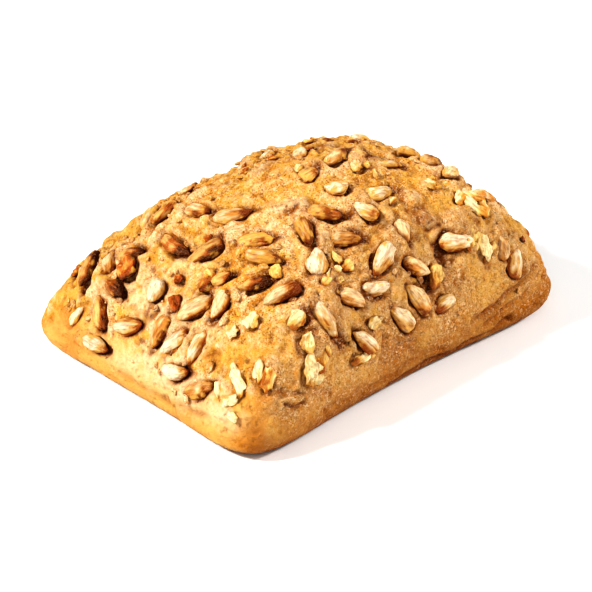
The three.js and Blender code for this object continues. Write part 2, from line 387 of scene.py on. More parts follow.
def crust_grid(sides, lower, upper):
    """Rings of points on the smooth loaf, from the underside to the top."""
    angle = np.linspace(0, 2 * math.pi, sides, endpoint=False)
    c, s = np.cos(angle), np.sin(angle)
    low_turn = np.linspace(0, math.pi / 2, lower, endpoint=False)
    up_turn = np.linspace(0, math.pi / 2, upper + 1)[:-1]
    z = np.concatenate([
        WIDEST_HEIGHT * (1 - np.cos(low_turn)),
        WIDEST_HEIGHT + (HEIGHT - WIDEST_HEIGHT) * np.sin(up_turn) ** DOME_RISE,
    ])
    spread = np.concatenate([
        BASE_SHARE + (1 - BASE_SHARE) * np.sin(low_turn),
        np.cos(up_turn) ** DOME_CLOSE,
    ])
    rise = np.clip((z - WIDEST_HEIGHT) / (HEIGHT - WIDEST_HEIGHT), 0, 1)[:, None]
    power = CORNER_LOW + (CORNER_TOP - CORNER_LOW) * rise
    reach = spread[:, None] * (abs(c) ** power + abs(s) ** power) ** (-1 / power)
    u, v = reach * c, reach * s
    pinch = np.where(v < 0, FRONT_PINCH, BACK_PINCH)
    y = HALF_WIDTH * v * (1 - pinch * (1 - rise) * (1 - u * u))
    x = HALF_LENGTH * u * (1 - END_PINCH * (1 - rise) * (1 - v * v))
    points = np.stack([
        x + SKEW * y + TOP_SHIFT_X * rise,
        y + TOP_SHIFT_Y * rise,
        np.broadcast_to(z[:, None], x.shape),
    ], axis=-1)
    return points


def make_object(name, vertices_mm, faces):
    mesh = bpy.data.meshes.new(name)
    mesh.from_pydata((np.asarray(vertices_mm) * MM).tolist(), [], faces)
    mesh.update()
    made = bpy.data.objects.new(name, mesh)
    bpy.context.scene.collection.objects.link(made)
    return made


def tube_faces(rings, sides):
    """Faces of stacked rings of points, closed at both ends by one more point."""
    faces = []
    for ring in range(rings - 1):
        for i in range(sides):
            j = (i + 1) % sides
            a, b = ring * sides, (ring + 1) * sides
            faces.append((a + i, b + i, b + j, a + j))
    first, end, last = rings * sides, rings * sides + 1, (rings - 1) * sides
    for i in range(sides):
        j = (i + 1) % sides
        faces.append((first, i, j))
        faces.append((end, last + j, last + i))
    return faces


def smooth_loaf():
    """The loaf with no crust detail, as an even mesh, and its shift into the frame."""
    sides, lower, upper = 240, 12, 96
    rings = crust_grid(sides, lower, upper)
    points = rings.reshape(-1, 3)
    ends = [[0, 0, 0], [TOP_SHIFT_X, TOP_SHIFT_Y, HEIGHT]]
    points = np.vstack([points, ends])
    box = np.array(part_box("loaf")) / MM
    shift = (box[0] + box[1]) / 2 - (points.min(axis=0) + points.max(axis=0)) / 2
    shift[2] = 0
    points = points + shift
    faces = [(f[0], *f[:0:-1]) for f in tube_faces(len(rings), sides)]
    source = make_object("crust_source", points, faces)
    remesh = source.modifiers.new("even", "REMESH")
    remesh.mode = "VOXEL"
    remesh.voxel_size = CRUST_CELL * MM
    graph = bpy.context.evaluated_depsgraph_get()
    mesh = bpy.data.meshes.new_from_object(source.evaluated_get(graph))
    bpy.data.objects.remove(source)
    loaf = bpy.data.objects.new("crust", mesh)
    mesh.name = "crust"
    bpy.context.scene.collection.objects.link(loaf)
    return loaf, shift


def mesh_arrays(mesh):
    points = np.empty(len(mesh.vertices) * 3)
    normals = np.empty(len(mesh.vertices) * 3)
    mesh.vertices.foreach_get("co", points)
    mesh.vertex_normals.foreach_get("vector", normals)
    return points.reshape(-1, 3) / MM, normals.reshape(-1, 3)


crust, shift = smooth_loaf()
crust_points, crust_normals = mesh_arrays(crust.data)
surface = BVHTree.FromPolygons(
    crust_points.tolist(), [tuple(p.vertices) for p in crust.data.polygons])


def lumps(points):
    """How far the crust swells or sinks, before any small detail."""
    swell = 0.8 * noise(points, 17, 1) + 0.45 * noise(points, 7.5, 2)
    return swell * smooth(points[:, 2], 0.3, 7.0)


class Pose:
    """Where a piece lies: its centre, and its tip, side and outward directions."""

    def __init__(self, centre, tip, out, length, width, height):
        self.centre = np.array(centre, float)
        self.tip = np.array(tip, float)
        self.out = np.array(out, float)
        self.side = np.cross(self.tip, self.out)
        self.length, self.width, self.height = length, width, height
        self.shade = SHADE_SIDE_FRONT if self.out[1] < FRONT_LIMIT else SHADE_SIDE
        self.toast_and_shade = 0

    def place(self, local):
        """World points from the piece's own ones."""
        return (self.centre + local[:, :1] * self.side
                + local[:, 1:2] * self.tip + local[:, 2:3] * self.out)

    def local(self, points):
        """The piece's own side, tip and outward coordinates of world points."""
        offset = points - self.centre
        return offset @ self.side, offset @ self.tip, offset @ self.out


def pose_on(face, a, b, turn, length, width, height, lift):
    """The pose of a piece pressed into the crust at two coordinates of a face."""
    press, right, start = FACES[face]
    origin = Vector(start(a, b)) + Vector(shift)
    spot = surface.ray_cast(origin, Vector(press))[0]
    if spot is None:
        return None
    near = [n for _, n, _, _ in surface.find_nearest_range(spot, 2.0)]
    out = sum(near, Vector()).normalized()
    across = (Vector(right) - out * Vector(right).dot(out)).normalized()
    up = out.cross(across)
    turn = math.radians(turn)
    tip = across * math.cos(turn) + up * math.sin(turn)
    lift += lumps(np.array([spot]))[0]
    return Pose(spot + out * lift, tip, out, length, width, height)


def spot_on(face, a, b):
    return pose_on(face, a, b, 0, 1, 1, 1, 0).centre


def pose_of_node(name):
    """The pose of a CAD kernel, from its own mesh."""
    points, _ = mesh_arrays(frame["nodes"][name].data)
    centre = (points.max(axis=0) + points.min(axis=0)) / 2
    axes = np.linalg.svd(points - points.mean(axis=0))[2]
    tip, out = axes[0], axes[2]
    middle = np.array([shift[0], shift[1], WIDEST_HEIGHT])
    if out @ (centre - middle) < 0:
        out = -out
    along = (points - centre) @ tip
    reach = np.hypot((points - centre) @ axes[1], (points - centre) @ out)
    if (along * reach).sum() > 0:
        tip = -tip
    along = (points - centre) @ tip
    across = (points - centre) @ axes[1]
    centre = centre + tip * (along.max() + along.min()) / 2
    place = name.removeprefix("seed_")
    rise = USUAL_RISE + RISE_SWING * math.sin(7.3 * centre[0] + 3.1 * centre[1])
    if place in PROUD:
        rise = PROUD_RISE
    if place in SUNK:
        rise = SUNK_RISE
    centre = centre + out * (lumps(centre[None])[0] + rise)
    length, width = LENGTH_SHARE * np.ptp(along), WIDTH_SHARE * np.ptp(across)
    pose = Pose(centre, tip, out, length, width, KERNEL_HEIGHT)
    pose.toast_and_shade = sum(more for more, places in EXTRA_TOAST.items() if place in places)
    return pose


def bit_lift(kind, height):
    """How far the middle of a broken bit or a flake lies above the crust."""
    share = 0.3 if kind == "chunk" else 0.1
    return share * height + 0.15


kernel_poses = []
for entry in frame["record"]["subparts"]:
    if entry["node"].startswith("seed_"):
        kernel_poses.append((entry["node"], pose_of_node(entry["node"]), entry["material_slot"]))

loose_poses = [
    (pose_on(face, a, b, turn, length, width, height, 0.42 * height - 0.45), "kernel_" + shade)
    for face, a, b, turn, length, width, height, shade in LOOSE_KERNELS
]
bit_poses = [
    (pose_on(face, a, b, turn, length, width, height, bit_lift(kind, height)), kind, "kernel_" + shade)
    for face, a, b, turn, length, width, height, kind, shade in BITS
]


def scatter():
    """More kernels where the camera doesn't look, clear of the others."""
    rng = np.random.default_rng(4)
    taken = [p.centre for _, p, _ in kernel_poses] + [p.centre for p, _ in loose_poses]
    made = []
    slots = ["kernel_pale", "kernel_tan", "kernel_dark", "kernel_tan"]
    for face, (a_range, b_range, wanted) in SCATTERED.items():
        found = 0
        for _ in range(SCATTER_TRIES):
            if found == wanted:
                break
            a, b = rng.uniform(*a_range), rng.uniform(*b_range)
            turn, length = rng.uniform(0, 360), rng.uniform(7.5, 9.5)
            slot = slots[rng.integers(len(slots))]
            pose = pose_on(
                face, a, b, turn, length, SCATTER_WIDTH, SCATTER_HEIGHT, SCATTER_LIFT)
            hidden = pose and pose.out @ TOWARD_CAMERA < -0.12
            if hidden and all(np.linalg.norm(pose.centre - t) > SCATTER_GAP for t in taken):
                taken.append(pose.centre)
                made.append((pose, slot))
                found += 1
    return made


loose_poses += scatter()


def outline_distance(pose, points):
    """Distance from a piece's footprint, negative inside, and the angle around it."""
    across, along, over = pose.local(points)
    half = pose.length / 2
    width = pose.width / 2 * (1 - 0.3 * np.clip(along / half, -1, 1))
    radius = np.hypot(along / half, across / width)
    near = smooth(abs(over), 6.0, 3.5)
    return (radius - 1) * width + (1 - near) * 20, np.arctan2(along, across)


def groove_distance(points, face, path):
    """Distance to a line drawn on a face."""
    line = [spot_on(face, a, b) for a, b in path]
    best = np.full(len(points), 99.0)
    for start, end in zip(line, line[1:]):
        step = end - start
        t = np.clip((points - start) @ step / (step @ step), 0, 1)
        best = np.minimum(best, np.linalg.norm(points - start - t[:, None] * step, axis=1))
    return best


def relief(points, bent, up):
    """Small lumps all over the crust, veins, streaks along the top and shallow cracks."""
    rough = 0.4 + 0.6 * smooth(points[:, 2], 12, 20)
    lift = rough * (0.62 * noise(bent, 4.2, 3) + 0.5 * noise(bent, 2.2, 4))
    veins = 0.35 * (0.35 - abs(noise(bent, 3.0, 8)))
    lift += veins + 0.3 * (0.3 - abs(noise(bent * (0.6, 1, 1), 1.7, 14)))
    lift += 0.26 * noise(bent * (0.3, 1, 1), 2.4, 5) * smooth(up, 0.35, 0.8)
    cracked = smooth(noise(points, 14, 7), -0.1, 0.5)
    lift -= 0.3 * smooth(1 - abs(noise(bent, 5.5, 6)) * 4, 0.3, 1) * cracked
    return lift


# The next five add to the crust's lift and to its painted shade, in place.


def press_dents(bent, lift, dark):
    for face, a, b, radius, depth in DENTS:
        gap = np.linalg.norm(bent - spot_on(face, a, b), axis=1) / radius
        hollow = np.exp(-gap ** 2 * 1.6)
        lift -= depth * hollow
        # Painted shade in the deeper dents.
        if depth > 0:
            dark += min(depth, 1) * 0.8 * smooth(hollow, 0.3, 1)


def bury_kernels(points, bent, lift, dark):
    """Swellings over kernels under the dough, with painted shadow on the side of each that faces away
    from the lights. Returns where they are.
    """
    cover = np.zeros(len(points))
    for face, a, b, turn, length, width, rise in BURIED:
        pose = pose_on(face, a, b, turn, length, width, rise, 0)
        across, along, over = pose.local(bent)
        radius = np.hypot(along / (length / 2), across / (width / 2))
        near = abs(over) < 6
        lift += rise * near * smooth(radius, 1.25, 0.35)
        cover = np.maximum(cover, near * smooth(radius, 1.1, 0.6))
        # Painted shadow in a ring on the side of the swelling away from the lights.
        shadow_side = smooth((points - pose.centre) @ pose.shade, 0, 2)
        dark += 0.45 * near * hill(radius, 1.2, 0.2) * shadow_side
    return cover


def cut_creases(points, lift, dark):
    for face, path, half, depth in CREASES:
        gap = groove_distance(points, face, path)
        groove = hill(gap, 0, half)
        lift += depth * (0.45 * hill(gap, 2 * half, half) - groove)
        # Painted shade in the groove.
        dark += depth * groove


def prick_pores(points, rng, lift, dark):
    for index in rng.choice(len(points), PORES, replace=False):
        radius, depth = rng.uniform(0.35, 0.9), rng.uniform(0.15, 0.5)
        near = np.abs(points - points[index]).max(axis=1) < 3
        gap = np.linalg.norm(points[near] - points[index], axis=1) / radius
        hollow = np.exp(-gap ** 2 * 1.6)
        lift[near] -= depth * hollow
        # Painted shade in the pore.
        dark[near] += hollow * depth


def raise_rims(points, warp, rng, lift, dark):
    """A lip of dough around every kernel and bit, with painted shadow in the crevice on the side away
    from the lights.
    """
    poses = [p for _, p, _ in kernel_poses] + [p for p, _ in loose_poses]
    rims = [1.0] * len(poses) + [0.35 if kind == "flake" else 0.9 for _, kind, _ in bit_poses]
    poses += [p for p, _, _ in bit_poses]
    for index, (pose, rim) in enumerate(zip(poses, rims)):
        near = np.linalg.norm(points - pose.centre, axis=1) < pose.length / 2 + 5
        gap, around = outline_distance(pose, points[near] + 0.5 * warp[near])
        size = min(1, pose.height / 2.6)
        swing = 0.6 + 0.4 * np.sin(around + index * 1.7) * np.cos(2 * around + index)
        toward = (points[near] - pose.centre) @ pose.shade
        creep = rng.uniform(0.2, 1.0) * smooth(-toward, -1.2, 1.6)
        ridge = rng.uniform(0.5, 1.1) * swing * hill(gap, 0.95, 0.8)
        ridge += 1.3 * creep * (0.8 + 0.5 * warp[near, 0]) * hill(gap, -0.1, 0.65)
        sunk = 0.5 * smooth(gap, 0.35, -0.7) + 0.45 * (1 - creep) * hill(gap, 0.05, 0.4)
        lift[near] += size * (ridge - sunk)
        # Painted shadow beside each piece, on the side away from the lights and in the crevice at its
        # edge; flakes take less.
        shadow_side = (0.3 + 0.7 * smooth(toward, -1.5, 1.6)) * (1 - 0.9 * creep)
        crevice_shade = 1.1 * hill(gap, 0.1, 0.5) + 0.5 * smooth(gap, 0.2, -0.5)
        dark[near] += size * rim * shadow_side * crevice_shade


def shape_crust():
    """Moves the crust's points, and says how much painted shade, how high and how covered each is."""
    points, up = crust_points, crust_normals[:, 2]
    warp = noise3(points, 6, 31)
    bent = points + 1.6 * warp
    lift = relief(points, bent, up)
    # Painted shade in the low spots of the relief.
    dark = 0.7 * smooth(-lift, 0.15, 0.6)
    press_dents(bent, lift, dark)
    cover = bury_kernels(points, bent, lift, dark)
    cut_creases(points + 0.7 * warp, lift, dark)
    rng = np.random.default_rng(9)
    prick_pores(points, rng, lift, dark)
    raise_rims(points, warp, rng, lift, dark)
    lift = lumps(points) + lift * smooth(points[:, 2], 0.3, 6.0)
    moved = points + crust_normals * lift[:, None]
    moved[:, 2] = np.maximum(moved[:, 2], 0)
    flat = (points[:, 2] < 0.35) & (up < -0.7)
    moved[flat, 2] = 0
    crust.data.vertices.foreach_set("co", (moved * MM).ravel())
    crust.data.update()
    return moved, np.clip(dark, 0, 1.2), lift, cover


def paint(mesh, name, colours):
    """Stores a colour for each point."""
    layer = mesh.color_attributes.new(name, "FLOAT_COLOR", "POINT")
    values = np.ones((len(colours), 4))
    values[:, :3] = colours
    layer.data.foreach_set("color", values.ravel())


def store_speckle(mesh, values):
    """How much of the crust material's fine speckle each point takes."""
    layer = mesh.attributes.new("speckle", "FLOAT", "POINT")
    layer.data.foreach_set("value", values.astype(np.float32))


class Zones:
    """Parts of the crust that bake alike, and the part of the front painted as in shade, as weights,
    and noise of four sizes.
    """

    def __init__(self, points):
        height, normals = points[:, 2], crust_normals
        self.front = smooth(-normals[:, 1], 0.35, 0.85)
        self.left = smooth(-normals[:, 0], 0.3, 0.8)
        self.low = smooth(height, 13, 2)
        self.edge = smooth(height, 4.0, 0.6)
        self.rim = smooth(height, 1.6, 0.2)
        self.wide, self.mid = noise(points, 19, 21), noise(points, 7, 22)
        self.fine, self.tiny = noise(points, 2.4, 23), noise(points, 1.2, 26)
        self.corner = smooth(abs(normals[:, 0] * normals[:, 1]) * 2, 0.45, 1.0) * smooth(height, 26, 10)
        self.corner *= 1 - 0.25 * smooth(points[:, 1], -10, 10)
        self.foot = smooth(height, 17, 8) * smooth(-normals[:, 0] - normals[:, 1], 0.5, 0.9)
        self.foot *= smooth(-normals[:, 0], 0.1, 0.5)
        # The part of the front painted darker as shade.
        self.shaded = self.front * smooth(height, 18, 4) * smooth(points[:, 0], 0, 25)
        self.streaks = noise(points * (0.3, 1, 1), 1.5, 27) * smooth(normals[:, 2], 0.35, 0.8)
        self.streaks *= smooth(points[:, 0], 12, -8)
        self.golden = np.zeros(len(points))
        for centre, radius in GOLDEN:
            self.golden += hill(np.linalg.norm(points - centre, axis=1), 0, radius)
        self.golden += 0.4 * smooth(normals[:, 2], 0.6, 0.9)
        self.patches = np.zeros(len(points))
        for centre, radius, amount in PATCHES:
            gap = np.linalg.norm(points + 2 * self.fine[:, None] - centre, axis=1)
            self.patches += amount * hill(gap, 0, radius)


def crust_colours(points, lift, cover, zone):
    """Pale floury patches, golden and orange bake and browned edges, with raised crust painted paler as
    a highlight, hollows painted browner as shade, and the lower front and shaded front darker amber.
    """
    front, low, foot, golden = zone.front, zone.low, zone.foot, zone.golden
    mid, fine, tiny = zone.mid, zone.fine, zone.tiny
    high = smooth(lift, 0.1, 0.9)
    cloud = 0.45 * zone.wide + 0.5 * mid + 0.7 * fine + 0.5 * tiny
    pale = 0.08 + cloud * (1 - 0.8 * foot) - 0.1 * front + 0.3 * zone.left
    # Raised crust paler: a painted highlight on the tops of lumps.
    pale += 0.6 * high * (1 - foot) + 0.55 * foot - 0.9 * low
    pale += 0.9 * zone.streaks
    pale += zone.patches
    colour = np.tile(linear(GOLD), (len(points), 1))
    colour = blend(colour, CREAM, smooth(pale, 0.1, 0.9))
    cloud = 0.6 * noise(points, 13, 24) + 0.6 * noise(points, 4, 25) + 0.7 * tiny
    bake = 0.1 + cloud * (1 - 0.85 * foot)
    # Raised crust less orange, part of the same painted highlight.
    bake -= 0.5 * high + zone.patches
    colour = blend(colour, ORANGE, 0.8 * smooth(bake, 0.1, 0.9))
    colour = blend(colour, LIGHT_GOLD, golden * (0.55 + 1.2 * fine))
    spots = smooth(noise(points, 1.6, 28) + 0.5 * noise(points, 0.8, 29), 0.25, 0.7)
    colour = blend(colour, ORANGE, 0.7 * spots * golden)
    colour = blend(colour, CREAM, cover * (0.6 + 0.7 * fine))
    colour = blend(colour, BEIGE, front * (0.75 + 0.5 * mid + 0.4 * fine))
    colour = blend(colour, DULL_CREAM, 0.2 * foot)
    sides = 0.4 * low * (1 - front) * (0.7 + 0.6 * mid)
    colour = blend(colour, ORANGE, zone.corner * (1 - 0.4 * zone.left) + sides)
    # The lower front darker amber; the shaded part of the front the same, as painted shade.
    under = 0.85 * np.maximum(low * front, zone.shaded)
    colour = blend(colour, AMBER, under * (0.9 + 0.6 * mid + 0.4 * fine))
    # The lower front browner, and hollows browner as painted shade.
    colour = blend(colour, BROWN, 0.25 * low * front + 0.45 * smooth(-lift, 0.1, 0.9))
    colour = blend(colour, BROWN, zone.edge * (0.75 + 0.5 * mid))
    return blend(colour, BURNT, zone.rim * 0.7)


def paint_crust(points, dark, lift, cover):
    """Stores the crust's colours and speckle, and returns the colours."""
    zone = Zones(points)
    colour = crust_colours(points, lift, cover, zone)
    # Painted shade from shape_crust: browner in low spots, dents, creases and pores, and in the
    # crevices beside kernels on the side away from the lights.
    colour = blend(colour, BROWN, dark * 0.85)
    colour = blend(colour, BURNT, smooth(dark, 0.6, 1.1) * 0.75)
    paint(crust.data, "tone", colour)
    speckle = 0.75 + 0.4 * zone.mid - 0.35 * zone.low * zone.front - 0.3 * zone.left + 0.4 * zone.golden
    store_speckle(crust.data, np.clip((1 - 0.85 * zone.foot) * speckle, 0, 1))
    return colour


moved_points, dark, lift, cover = shape_crust()
crust_tones = paint_crust(moved_points, dark, lift, cover)


# ------------------------------ the kernels


def kernel_mesh(length, width, height, seed, rings=30, sides=32):
    """A shelled kernel: round butt at -Y, pointed tip at +Y, a low crest and ribs along it."""
    rng = np.random.default_rng(seed)
    t = np.linspace(0, 1, rings + 2)[1:-1]
    t = 0.5 - 0.5 * np.cos(math.pi * t)
    wide = t ** rng.uniform(0.36, 0.46) * (1 - t) ** rng.uniform(0.6, 0.8)
    thick = t ** 0.38 * (1 - t) ** 0.55
    wide, thick = wide / wide.max(), thick / thick.max()
    around = np.linspace(0, 2 * math.pi, sides, endpoint=False)
    c, s = np.cos(around), np.sin(around)
    phase = rng.uniform(0, 6)
    ribs = 1 + 0.07 * np.cos(rng.integers(9, 14) * around + phase)
    x = width / 2 * wide[:, None] * np.sign(c) * abs(c) ** 1.12 * ribs
    z = height / 2 * thick[:, None] * np.sign(s) * abs(s) ** 1.3 * ribs
    y = np.broadcast_to(length * (t - 0.5)[:, None], x.shape).copy()
    groove = rng.uniform(-0.55, 0.55) * width / 2
    sink = rng.choice([0.06, 0.16, 0.3]) * height / 2
    z -= sink * hill(x, groove, 0.1 * width) * (s > 0) * thick[:, None]
    bend = (2 * (t - 0.5))[:, None] ** 2
    x = x + rng.uniform(-0.6, 0.6) * bend
    z = z + rng.uniform(-0.35, 0.3) * bend
    twist = rng.uniform(-0.3, 0.3) + rng.uniform(-0.35, 0.35) * (t - 0.5)[:, None]
    x, z = x * np.cos(twist) - z * np.sin(twist), x * np.sin(twist) + z * np.cos(twist)
    ends = [[x[0].mean(), -length / 2, z[0].mean()], [x[-1].mean(), length / 2, z[-1].mean()]]
    local = np.vstack([np.stack([x, y, z], axis=-1).reshape(-1, 3), ends])
    local += 0.24 * noise3(local, 2.2, seed + 1)
    local += 0.12 * noise3(local * (1, 0.5, 1), 0.9, seed + 4)
    return local, tube_faces(rings, sides)


def kernel_colours(local, pose, tones, seed):
    """Darker margins and tip, and toasting that varies; painted shade darkens the side away from the
    lights and the underside there, and a painted highlight pales the other side.
    """
    rng = np.random.default_rng(seed + 50)
    pale, middle, toasted, share = tones
    half = np.array([pose.width / 2, pose.length / 2, pose.height / 2])
    x, y, z = (local / half).T
    # How far each point lies toward the side away from the lights, where shade is painted.
    toward_shade = (pose.place(local / half) - pose.centre) @ (pose.shade + rng.normal(0, 0.3, 3))
    streak = noise(local * (1, 0.18, 0.7), 0.8, seed + 7)
    fibre = noise(local * (1, 0.1, 0.6), 0.32, seed + 9)
    blotch = noise(local, 2.2, seed + 11)
    lines = smooth(abs(noise(local * (1, 0.1, 0.8), 0.7, seed + 13)), 0.16, 0.02)
    lines *= smooth(z, -0.2, 0.3)
    toast_and_shade = toward_shade + 0.5 * streak + 0.5 * blotch + 0.3 * fibre + rng.uniform(-0.25, 0.3)
    toast_and_shade += 0.7 * smooth(y, 0.7, 1.0) + 0.35 * smooth(-y, 0.75, 1.0) + share + pose.toast_and_shade
    colour = np.tile(linear(middle), (len(local), 1)) * rng.uniform(0.9, 1.05)
    # Painted light: the side toward the lights takes the pale tone and the side away from them the
    # toasted tone, mixed with toasting that varies along the kernel.
    colour = blend(colour, pale, smooth(-toast_and_shade, -0.3, 0.3))
    colour = blend(colour, toasted, 0.92 * smooth(toast_and_shade, 0.3, 0.75) + 0.4 * lines)
    colour = blend(colour, GOLD, 0.85 * smooth(-toward_shade, 0.0, 0.5) * smooth(-z, -0.55, 0.05))
    dusted = rng.uniform(0.2, 0.7) if pose.out[2] > 0.85 else rng.uniform(-0.2, 0.3)
    dust = noise(local, 1.5, seed + 15) + 0.4 * noise(local, 0.6, seed + 17) + 0.5 * abs(x) + dusted
    colour = blend(colour, GOLD, 0.9 * smooth(dust, 0.7, 1.1))
    # Painted shade: the underside darker on the side away from the lights.
    colour = blend(colour, BROWN, 0.8 * smooth(-z, -0.15, 0.4) * smooth(toward_shade, -0.5, 0.3))
    colour = blend(colour, BURNT, 0.8 * smooth(-z, 0.1, 0.6) * smooth(toward_shade, -0.5, 0.3))
    return colour * (1 - 0.22 * pose.toast_and_shade)


def chunk_points(unit, size, rng, seed):
    """A lump cut by flat breaks, a little rough, with a hollow in its top."""
    width, height = 2 * size[0], 2 * size[2]
    reach = np.full(len(unit), 1.0)
    for _ in range(BREAKS):
        cut = rng.normal(size=3)
        cut /= np.linalg.norm(cut)
        facing = unit @ cut
        limit = rng.uniform(0.55, 0.85) / np.maximum(facing, 1e-6)
        reach = np.where(facing > 0, np.minimum(reach, limit), reach)
    local = unit * reach[:, None] * size * 1.2
    local += 0.11 * width * noise3(local, 0.4 * width, seed + 1)
    local += 0.05 * width * noise3(local, 0.18 * width, seed + 4)
    hollow = np.exp(-((local[:, :2] / size[:2]) ** 2).sum(axis=1) * 3)
    local[:, 2] -= 0.4 * height * hollow * (local[:, 2] > 0)
    return local


def flake_points(unit, size, seed):
    """A thin crumpled skin with a ragged edge."""
    plan = unit * (1, 1, 0)
    edge = 1 + 0.4 * noise(plan, 0.7, seed) + 0.12 * noise(plan, 0.3, seed + 1)
    local = unit * size * np.stack([edge, edge, np.ones(len(unit))], axis=-1)
    local[:, 2] += 0.5 * size[0] * noise(local * (1, 1, 0), 1.6, seed + 5) + 0.3
    local += 0.08 * noise3(local, 0.7, seed + 1)
    return local


def bit_mesh(length, width, height, kind, seed, rings=20, sides=28):
    """A broken bit of kernel or a flake, from a ball of points."""
    rng = np.random.default_rng(seed)
    polar = np.linspace(0, math.pi, rings + 2)[1:-1]
    around = np.linspace(0, 2 * math.pi, sides, endpoint=False)
    unit = np.stack([
        np.sin(polar)[:, None] * np.cos(around),
        np.sin(polar)[:, None] * np.sin(around),
        np.broadcast_to(np.cos(polar)[:, None], (rings, sides)),
    ], axis=-1).reshape(-1, 3)
    unit = np.vstack([unit, [0, 0, 1], [0, 0, -1]])
    size = np.array([width / 2, length / 2, height / 2])
    if kind == "chunk":
        local = chunk_points(unit, size, rng, seed)
    else:
        local = flake_points(unit, size, seed)
    return local, tube_faces(rings, sides)


# ------------------------------ the materials


CLOUD, CELLS, RANGE = "ShaderNodeTexNoise", "ShaderNodeTexVoronoi", "ShaderNodeMapRange"


def feed(links, socket, value):
    """Links a socket to another one, or sets its constant."""
    if isinstance(value, bpy.types.NodeSocket):
        links.new(value, socket)
    else:
        socket.default_value = value


def shade(nodes, links, kind, **inputs):
    """A shader node with its inputs given by name."""
    node = nodes.new(kind)
    for name, value in inputs.items():
        feed(links, node.inputs[name.replace("_", " ")], value)
    return node


def attribute(nodes, name):
    """A node that reads one of the mesh's own layers."""
    node = nodes.new("ShaderNodeAttribute")
    node.attribute_name = name
    return node


def ramp(nodes, links, value, stops):
    """A grey level that changes between two places."""
    node = nodes.new("ShaderNodeValToRGB")
    links.new(value, node.inputs["Fac"])
    for element, (place, level) in zip(node.color_ramp.elements, stops):
        element.position = place
        element.color = (level, level, level, 1)
    return node.outputs["Color"]


def mix(nodes, links, amount, first, second):
    """Two colours mixed. A mix node's colours are its inputs 6 and 7 and its output 2."""
    node = nodes.new("ShaderNodeMix")
    node.data_type = "RGBA"
    for index, value in ((0, amount), (6, first), (7, second)):
        feed(links, node.inputs[index], value)
    return node.outputs[2]


def new_material(name):
    material = bpy.data.materials.new(name)
    material.use_nodes = True
    nodes, links = material.node_tree.nodes, material.node_tree.links
    return material, nodes, links, nodes["Principled BSDF"]


def rgba(colour):
    return (*linear(colour).tolist(), 1)


def crust_material():
    """The painted tone, speckled with bake, flour and dark grains, and pores painted darker as shade in
    their pits.
    """
    material, nodes, links, shader = new_material("crust")
    place = nodes.new("ShaderNodeTexCoord").outputs["Object"]
    tone, speckle = attribute(nodes, "tone"), attribute(nodes, "speckle")
    mottle = shade(nodes, links, CLOUD, Vector=place, Scale=800, Detail=5, Roughness=0.75)
    grain = shade(nodes, links, CLOUD, Vector=place, Scale=2600, Detail=2, Roughness=0.7)
    flour = shade(nodes, links, CLOUD, Vector=place, Scale=1300, Detail=4, Roughness=0.8)
    pores = shade(nodes, links, CELLS, Vector=place, Scale=620, Randomness=1)
    specks = shade(nodes, links, CELLS, Vector=place, Scale=330, Randomness=1)
    layers = [
        (mottle.outputs["Fac"], [(0.44, 0), (0.62, 0.7)], ORANGE),
        (flour.outputs["Fac"], [(0.52, 0), (0.66, 0.65)], FLOUR),
        (grain.outputs["Fac"], [(0.32, 0.7), (0.47, 0)], BROWN),
        (specks.outputs["Distance"], [(0.04, 0.7), (0.09, 0)], BURNT),
        # Pores browner: painted shade in the pits that the bump makes below.
        (pores.outputs["Distance"], [(0.05, 0.6), (0.12, 0)], BROWN),
    ]
    colour = tone.outputs["Color"]
    for value, stops, tint in layers:
        amount = nodes.new("ShaderNodeMath")
        amount.operation = "MULTIPLY"
        links.new(ramp(nodes, links, value, stops), amount.inputs[0])
        links.new(speckle.outputs["Fac"], amount.inputs[1])
        colour = mix(nodes, links, amount.outputs["Value"], colour, rgba(tint))
    links.new(colour, shader.inputs["Base Color"])
    rough = shade(nodes, links, RANGE, Value=mottle.outputs["Fac"], To_Min=0.4, To_Max=0.8)
    links.new(rough.outputs["Result"], shader.inputs["Roughness"])
    height = mix(nodes, links, 0.35, mottle.outputs["Fac"], grain.outputs["Fac"])
    pits = ramp(nodes, links, pores.outputs["Distance"], [(0.05, 0), (0.4, 1)])
    height = mix(nodes, links, 0.3, height, pits)
    bump = shade(nodes, links, "ShaderNodeBump", Height=height, Strength=1.0, Distance=0.0014)
    links.new(bump.outputs["Normal"], shader.inputs["Normal"])
    shader.inputs["Specular IOR Level"].default_value = 0.18
    return material


def kernel_material(name, low, high):
    """The painted tone, with fibres along the kernel and a roughness from low to high."""
    material, nodes, links, shader = new_material(name)
    tone, grain = attribute(nodes, "tone"), attribute(nodes, "grain").outputs["Vector"]
    fibre = shade(nodes, links, CLOUD, Vector=grain, Scale=1, Detail=4, Roughness=0.6)
    fine = shade(nodes, links, CLOUD, Vector=grain, Scale=4, Detail=3, Roughness=0.7)
    browned = ramp(nodes, links, fibre.outputs["Fac"], [(0.45, 0), (0.7, 0.55)])
    colour = mix(nodes, links, browned, tone.outputs["Color"], rgba(BROWN))
    paled = ramp(nodes, links, fine.outputs["Fac"], [(0.5, 0), (0.75, 0.4)])
    colour = mix(nodes, links, paled, colour, rgba(CREAM))
    links.new(colour, shader.inputs["Base Color"])
    rough = shade(nodes, links, RANGE, Value=fibre.outputs["Fac"], To_Min=low, To_Max=high)
    links.new(rough.outputs["Result"], shader.inputs["Roughness"])
    height = mix(nodes, links, 0.4, fibre.outputs["Fac"], fine.outputs["Fac"])
    bump = shade(nodes, links, "ShaderNodeBump", Height=height, Strength=0.7, Distance=0.0004)
    links.new(bump.outputs["Normal"], shader.inputs["Normal"])
    shader.inputs["Specular IOR Level"].default_value = 0.25
    shader.inputs["Specular Tint"].default_value = (1, 0.8, 0.5, 1)
    return material


